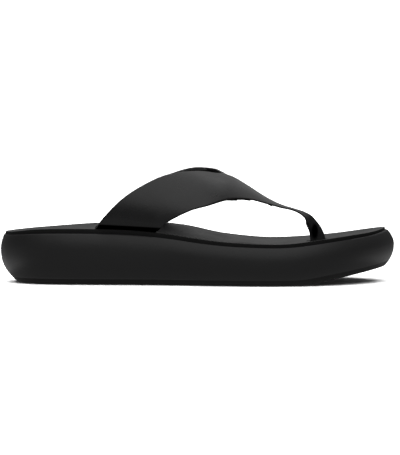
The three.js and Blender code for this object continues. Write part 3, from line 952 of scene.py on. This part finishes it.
def make_foam_skin():
    """The moulded foam unit's skin: a fine even stipple with faint unevenness."""
    material = new_material("moulded_foam_skin", (0.012, 0.012, 0.0125), 0.5)
    vector = place(material)
    stipple = noise(material, vector, 3200, detail=2)
    swells = noise(material, vector, 40, detail=2)
    height = math_node(material, "ADD", math_node(material, "MULTIPLY", stipple, 0.35), swells)
    clouds = noise(material, vector, 28, detail=4)
    return finish_material(
        material,
        mixed_color(material, clouds, (0.0105, 0.0105, 0.011), (0.014, 0.014, 0.0145)),
        spread(material, clouds, 0.46, 0.56),
        height,
        0.00016,
        0.6,
    )


def make_rubber():
    material = new_material("outsole_rubber", (0.007, 0.007, 0.0075), 0.7, specular=0.3)
    vector = place(material)
    speckle = noise(material, vector, 2200, detail=4, roughness=0.6)
    dust = noise(material, vector, 120, detail=5, roughness=0.6)
    return finish_material(
        material,
        mixed_color(material, dust, (0.0055, 0.0055, 0.006), (0.011, 0.0108, 0.0105)),
        spread(material, dust, 0.58, 0.76),
        speckle,
        0.00009,
    )


def make_fibreboard():
    material = new_material("insole_fibreboard", (0.15, 0.095, 0.055), 0.85, specular=0.25)
    vector = place(material)
    fibres = noise(material, stretched(material, vector, (1, 6, 6)), 420, detail=5, roughness=0.7)
    return finish_material(
        material,
        mixed_color(material, fibres, (0.1, 0.062, 0.035), (0.21, 0.14, 0.085)),
        spread(material, fibres, 0.78, 0.92),
        fibres,
        0.0001,
    )


def make_open_foam():
    material = new_material("open_cell_foam", (0.045, 0.045, 0.05), 0.95, specular=0.2)
    vector = place(material)
    cells = node(material, "ShaderNodeTexVoronoi", Vector=vector, Scale=1500.0).outputs["Distance"]
    return finish_material(
        material,
        mixed_color(material, cells, (0.03, 0.03, 0.034), (0.065, 0.065, 0.07)),
        spread(material, cells, 0.88, 0.98),
        cells,
        0.0002,
    )


def make_webbing():
    """Woven tape: two crossing sets of ribs."""
    material = new_material("woven_tape", (0.014, 0.014, 0.016), 0.85, specular=0.3)
    vector = place(material)
    ribs = [
        node(material, "ShaderNodeTexWave", Vector=vector, Scale=900.0, bands_direction=axis).outputs["Fac"]
        for axis in ("X", "Z")
    ]
    weave = math_node(material, "MULTIPLY", *ribs)
    return finish_material(
        material,
        mixed_color(material, weave, (0.008, 0.008, 0.009), (0.022, 0.022, 0.024)),
        spread(material, weave, 0.75, 0.92, 0, 1),
        weave,
        0.0002,
    )


def make_wire():
    material = new_material("bare_wire", (0.42, 0.42, 0.44), 0.35, metallic=1.0)
    vector = place(material)
    drawn = noise(material, stretched(material, vector, (1, 12, 12)), 1500, detail=3)
    return finish_material(
        material,
        mixed_color(material, drawn, (0.34, 0.34, 0.36), (0.5, 0.5, 0.52)),
        spread(material, drawn, 0.28, 0.45),
        drawn,
        0.00002,
    )


# ---- Pieces ----


def settle(piece, node_name, slot, *materials):
    """Gives a finished piece its materials and the body it rides, and hides its CAD node. The slot argument
    is not used.
    """
    for mark, material in enumerate(materials):
        piece.data.materials[mark] = material
    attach(piece, "root")
    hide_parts(node_name)


def outsole_top(x, _):
    return ground(x) + OUTSOLE_THICKNESS


def tread_face(x, _):
    return ground(x)


def make_midsole(material):
    """The foam unit, with a rounded lip; its underside rests on the outsole."""
    lip = offset_ring(FIT, below_rim())
    top = wall_ring(share=WALL_TOP)
    rings = [
        offset_ring(FIT, below(RECESS_FLOOR)),
        offset_ring(FIT, below_rim(0.5)),
        between(lip, top, 0.12, -0.12),
        between(lip, top, 0.4, 0.02),
        between(lip, top, 0.75, 0.03),
        *[wall_ring(share=share) for share in steps(36, WALL_TOP, WALL_FOOT)],
        wall_ring(above=OUTSOLE_THICKNESS),
    ]
    piece = shell("midsole_foam", rings, below(RECESS_FLOOR), outsole_top, 60)
    cut(piece, [post_cutter(PIN_POCKET, -PIN_POCKET_FLOOR, 0)])
    settle(piece, "midsole", "foam_unit", material)


def make_outsole(material):
    """The tread sheet, with a rounded lower edge and grooves across it."""
    inner = offset_ring(-20, tread_face)
    rings = [wall_ring(above=above) for above in (OUTSOLE_THICKNESS, 3, 2, 1.2, 0.5)]
    rings.append(between(wall_ring(above=0.1), inner, 0.01))
    rings.append(between(wall_ring(above=0), inner, 0.03))
    piece = shell("outsole_rubber", rings, outsole_top, tread_face)
    cut(piece, tread_cutters())
    settle(piece, "outsole", "rubber", material)


def tread_cutters():
    """The grooves across the tread, which stop short of its border."""
    bottom = wall_ring(above=0)
    cutters = []
    x, limit = TREAD_X
    while x < limit:
        near = [p.y for p in bottom if abs(p.x - x) < TREAD_PITCH]
        low = max(y for y in near if y < 0) + TREAD_BORDER
        high = min(y for y in near if y > 0) - TREAD_BORDER
        if high - low > 2 * TREAD_BORDER:
            slope = math.atan(ground(x + 0.5) - ground(x - 0.5))
            size = (TREAD_GROOVE, high - low, 2 * TREAD_DEPTH)
            cutters.append(box_cutter(size, (x, (low + high) / 2, ground(x)), 0, -slope))
        x += TREAD_PITCH
    return cutters


def slot_cutter(slot):
    """A strap's slot, with more room on the strap's outer side."""
    (x0, y0), (x1, y1) = slot["rear"], slot["front"]
    angle = math.atan2(y1 - y0, x1 - x0)
    width = LEATHER + LINING + 2 * PLY_GAP + 2 * FIT + SLOT_EASE
    shift = -slot["inward"] * (LEATHER - LINING + SLOT_EASE) / 2
    x, y = (x0 + x1) / 2 - math.sin(angle) * shift, (y0 + y1) / 2 + math.cos(angle) * shift
    size = (math.hypot(x1 - x0, y1 - y0) + 2 * FIT, width, CUTTER_HEIGHT)
    return box_cutter(size, (x, y, SLOT_CUTTER_Z), angle)


def post_cutter(width, low, high):
    """A box round the toe post, from one height to another about the footbed."""
    rear, front = POST_HOLE_X
    middle = (rear + front) / 2
    height = footbed(middle, POST_Y) + (low + high) / 2
    return box_cutter((front - rear, width, high - low), (middle, POST_Y, height))


def layer_cutters():
    """The two slots and the post's hole, through the layers of the footbed."""
    post_thickness = 2 * (POST_FOLD_RADIUS + PLY_GAP + LEATHER)
    return [
        slot_cutter(LATERAL_SLOT),
        slot_cutter(MEDIAL_SLOT),
        post_cutter(post_thickness + 2 * FIT, -PIN_POCKET_FLOOR, ABOVE_ALL),
    ]


def tail_cutter(slot):
    """The space round a strap's tail and its staples."""
    (x0, y0), (x1, y1) = slot["rear"], slot["front"]
    size = (x1 - x0 + 2 * TAIL_SIDE_ROOM, TAIL_LENGTH + 2 * TAIL_ROOM, CUTTER_HEIGHT)
    y = (y0 + y1) / 2 + slot["inward"] * TAIL_LENGTH / 2
    return box_cutter(size, ((x0 + x1) / 2, y, TAIL_CUTTER_Z))


def make_cover(leather, side):
    """The leather over the footbed, turned down round its edge."""
    inner = -COVER_THICKNESS
    rings = [
        offset_ring(-0.6, below(0)),
        offset_ring(-0.25, below(0.04)),
        offset_ring(-0.05, below(0.16)),
        offset_ring(0, below(0.35)),
        offset_ring(0, below(BOARD_BOTTOM)),
        offset_ring(inner, below(BOARD_BOTTOM)),
        offset_ring(inner, below(COVER_THICKNESS + 0.6)),
        offset_ring(inner - 0.8, below(COVER_THICKNESS)),
    ]
    piece = shell("footbed_leather", rings, below(0), below(COVER_THICKNESS), side_from=1)
    cut(piece, layer_cutters())
    settle(piece, "insole_cover", "leather", leather, side)


def make_cushion(material):
    """The contoured foam under the cover."""
    inset = -(COVER_THICKNESS + GAP)
    rings = [
        offset_ring(inset - 0.5, below(FOAM_TOP)),
        offset_ring(inset, below(FOAM_TOP + 0.5)),
        offset_ring(inset, below(FOAM_BOTTOM)),
    ]
    piece = shell("footbed_cushion", rings, below(FOAM_TOP), below(FOAM_BOTTOM))
    cut(piece, layer_cutters())
    settle(piece, "footbed_foam", "soft_foam", material)


def make_filler(material):
    """The thin foam sheet that levels the space between the turned-under tails."""
    inset = -FILLER_INSET
    rings = [
        offset_ring(inset - 0.4, below(TAIL_TOP)),
        offset_ring(inset, below(TAIL_TOP + 0.4)),
        offset_ring(inset, below(FILLER_BOTTOM - 0.4)),
        offset_ring(inset - 0.4, below(FILLER_BOTTOM)),
    ]
    piece = shell("bottom_filler_sheet", rings, below(TAIL_TOP), below(FILLER_BOTTOM))
    pocket = post_cutter(PIN_POCKET, -PIN_POCKET_FLOOR, ABOVE_ALL)
    cut(piece, [tail_cutter(LATERAL_SLOT), tail_cutter(MEDIAL_SLOT), pocket])
    settle(piece, "bottom_filler", "soft_foam", material)


def make_lateral_strap(leather, edge, lining):
    tail = tail_rows(LATERAL_SLOT)
    band = on_instep(band_places(LATERAL, BAND_ROWS))
    post = [post_row(t) for t in steps(POST_ROWS, POST_START, POST_END)]
    rows = [*tail, *band, *post]
    base, crook = len(tail), len(tail) + len(band)
    rows = smoothed(rows, base - 1, base + 2, 1)
    rows = smoothed(rows, crook - CROOK_ROWS, crook + CROOK_ROWS, 12)
    strap = ply("lateral_strap_leather", rows, PLY_GAP, PLY_GAP + LEATHER)
    settle(strap, "lateral_strap", "leather", leather, edge)
    inside = ply("lateral_lining_leather", lining_rows(rows, base), -PLY_GAP - LINING, -PLY_GAP)
    settle(inside, "lateral_strap_lining", "lining", lining, edge)
    return strap


def make_medial_strap(leather, edge, lining):
    tail = mirrored(tail_rows(MEDIAL_SLOT))
    places = mirrored(band_places(MEDIAL, BAND_ROWS))
    band = raised(on_instep(places), lambda i, j: -medial_drop(*places[i][j]))
    base = len(tail)
    rows = smoothed([*tail, *band], base - 1, base + 2, 1)
    strap = ply("medial_strap_leather", rows, PLY_GAP, PLY_GAP + LEATHER)
    settle(strap, "medial_strap", "leather", leather, edge)
    inside = ply("medial_lining_leather", lining_rows(rows, base), -PLY_GAP - LINING, -PLY_GAP)
    settle(inside, "medial_strap_lining", "lining", lining, edge)
    return strap


LINING_END = 0.76


def lining_rows(rows, base):
    """The rows that the lining covers: from inside the slot to where the strap narrows."""
    return rows[base - 5 : base + round(BAND_ROWS * LINING_END)]


def dress_hidden_nodes(materials):
    """Materials for the CAD pieces inside the sole."""
    for name, material in materials.items():
        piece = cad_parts[name]
        piece.data.materials.clear()
        piece.data.materials.append(material)


# ---- Studio ----

CAMERA_DISTANCE = 2.0
CAMERA_ELEVATION = 3.5
CAMERA_TARGET = (0.0019, 0, 0.037)
PICTURE_HEIGHT = 0.311  # what the picture's height covers at the object


def make_camera():
    data = bpy.data.cameras.new("camera")
    data.sensor_width = 36
    data.lens = data.sensor_width * CAMERA_DISTANCE / PICTURE_HEIGHT
    camera = bpy.data.objects.new("camera", data)
    elevation = math.radians(CAMERA_ELEVATION)
    back = Vector((0, -math.cos(elevation), math.sin(elevation)))
    camera.location = Vector(CAMERA_TARGET) + back * CAMERA_DISTANCE
    camera.rotation_euler = (-back).to_track_quat("-Z", "Y").to_euler()
    bpy.context.scene.collection.objects.link(camera)
    bpy.context.scene.camera = camera


def make_set():
    """A round white floor that curves up into a white wall."""
    radius, bend, height, sides = 2.4, 0.8, 2.6, 64
    profile = [(0.0, 0.0), (0.6, 0.0), (radius, 0.0)]
    floor_rows = len(profile) - 1
    for degrees in steps(8, 10, 90):
        turn = math.radians(degrees)
        profile.append((radius + bend * math.sin(turn), bend * (1 - math.cos(turn))))
    profile.append((radius + bend, height))
    builder = Builder()
    rows = []
    for r, z in profile:
        ring = [
            Vector((r * math.cos(a), r * math.sin(a), z)) / MM
            for a in (2 * math.pi * k / sides for k in range(sides))
        ]
        rows.append(builder.add([Vector((0, 0, z)) / MM] if r == 0 else ring))
    for k, (inner, outer) in enumerate(zip(rows, rows[1:])):
        inner = inner if len(inner) == 1 else [*inner, inner[0]]
        builder.strip(inner, [*outer, outer[0]], 0 if k < floor_rows else 1)
    piece = builder.build("studio_floor", 60)
    floor = new_material("studio_floor_white", (0.9, 0.9, 0.9), 0.9, specular=0.1)
    wall = new_material("studio_wall_white", (0.9, 0.9, 0.9), 0.9, specular=0.1)
    shader = wall.node_tree.nodes["Principled BSDF"]
    shader.inputs["Emission Color"].default_value = (1, 1, 1, 1)
    shader.inputs["Emission Strength"].default_value = 1.1
    piece.data.materials[0] = floor
    piece.data.materials[1] = wall
    piece.visible_diffuse = False
    piece.visible_glossy = False
    return piece


def softbox(name, place_m, aim, size, radiance, only=None):
    """A rectangular light of even brightness; only lists the objects that it lights, if not all."""
    data = bpy.data.lights.new(name, "AREA")
    data.shape = "RECTANGLE"
    data.size, data.size_y = size
    data.energy = radiance * math.pi * size[0] * size[1]
    light = bpy.data.objects.new(name, data)
    light.location = place_m
    light.rotation_euler = (Vector(aim) - Vector(place_m)).to_track_quat("-Z", "Y").to_euler()
    light.visible_camera = False
    bpy.context.scene.collection.objects.link(light)
    if only is not None:
        lit = bpy.data.collections.new(name + "_lit")
        for piece in only:
            lit.objects.link(piece)
        light.light_linking.receiver_collection = lit


FLOOR_RADIANCE = 5.2
TOE_SIDE_RADIANCE = 0.35
CARD_SIZE = (0.06, 0.2)
CARDS = (("toe_card", 0.17, 0.5), ("heel_card", -0.165, 0.6))  # name, x and radiance
ARCH_RADIUS = 1.2
ARCH_WIDTH = 1.1
ARCH_STEP = 15  # degrees from one softbox of the arch to the next
ARCH_BRIGHTNESS = {
    30: 0.8,
    45: 0.95,
    60: 0.95,
    75: 0.95,
    90: 0.9,
    105: 0.85,
    120: 0.7,
    135: 0.45,
    150: 0.3,
    165: 0.22,
}


def make_lights(floor, straps):
    world = bpy.data.worlds.new("studio")
    world.use_nodes = True
    world.node_tree.nodes["Background"].inputs["Color"].default_value = (1, 1, 1, 1)
    world.node_tree.nodes["Background"].inputs["Strength"].default_value = 0.15
    bpy.context.scene.world = world
    softbox("floor_light", (0, 0, 2.4), (0, 0, 0), (4, 4), FLOOR_RADIANCE, only=[floor])
    # An arch of softboxes over the object, from in front of it (0) to behind it (180).
    for degrees, brightness in ARCH_BRIGHTNESS.items():
        turn = math.radians(degrees)
        place_m = (0, -ARCH_RADIUS * math.cos(turn), ARCH_RADIUS * math.sin(turn))
        size = (ARCH_WIDTH, 2 * ARCH_RADIUS * math.tan(math.radians(ARCH_STEP / 2)))
        softbox(f"arch_light_{degrees}", place_m, (0, 0, 0), size, brightness)
    # A softbox above and beyond the toe, for the straps where they turn towards it.
    toe_side = (0.7, 0.45, 0.95)
    softbox("toe_side_light", toe_side, (0, 0, 0.05), (0.9, 0.9), TOE_SIDE_RADIANCE, only=straps)
    # Low cards beyond the ends, which brighten the wall's lower half there.
    for name, x, radiance in CARDS:
        softbox(name, (x, 0.06, 0.001), (x, 0.06, 1), CARD_SIZE, radiance)


FILL_DEPTH = 2
FILL_REACH = 3000
FILL_BRIGHTNESS = 0.27


def make_fill_sheet():
    """A dimly glowing sheet just under the white floor: the light that the floor throws back up."""
    builder = Builder()
    corners = [(-1, -1), (1, -1), (1, 1), (-1, 1)]
    builder.face(builder.add([Vector((x * FILL_REACH, y * FILL_REACH, -FILL_DEPTH)) for x, y in corners]))
    sheet = builder.build("fill_sheet")
    material = new_material("fill_sheet_glow", (0.01, 0.01, 0.01), 0.9, specular=0.1)
    shader = material.node_tree.nodes["Principled BSDF"]
    shader.inputs["Emission Color"].default_value = (1, 1, 1, 1)
    shader.inputs["Emission Strength"].default_value = FILL_BRIGHTNESS
    sheet.data.materials[0] = material
    sheet.visible_camera = False


def main():
    make_camera()
    edge = make_edge_paint()
    lining = make_lining_leather()
    soft_foam = make_open_foam()
    wire = make_wire()
    make_midsole(make_foam_skin())
    make_outsole(make_rubber())
    cover_leather = make_leather("footbed_cover_leather", (0.012, 0.012, 0.0125), 0.46, 0.00006)
    make_cover(cover_leather, make_shaded_cover_side())
    make_cushion(soft_foam)
    make_filler(soft_foam)
    straps = [
        make_lateral_strap(make_strap_leather_with_painted_shade(LATERAL_SLOT), edge, lining),
        make_medial_strap(make_strap_leather_with_painted_shade(MEDIAL_SLOT), edge, lining),
    ]
    hidden = {
        "insole_board": make_fibreboard(),
        "toe_post_tape": make_webbing(),
        "toe_post_pin": wire,
    }
    for side in ("lateral", "medial"):
        for end in ("rear", "front"):
            hidden[f"{side}_staple_{end}"] = wire
    dress_hidden_nodes(hidden)
    make_fill_sheet()
    make_lights(make_set(), straps)
    bpy.context.scene.view_settings.view_transform = "Standard"


main()
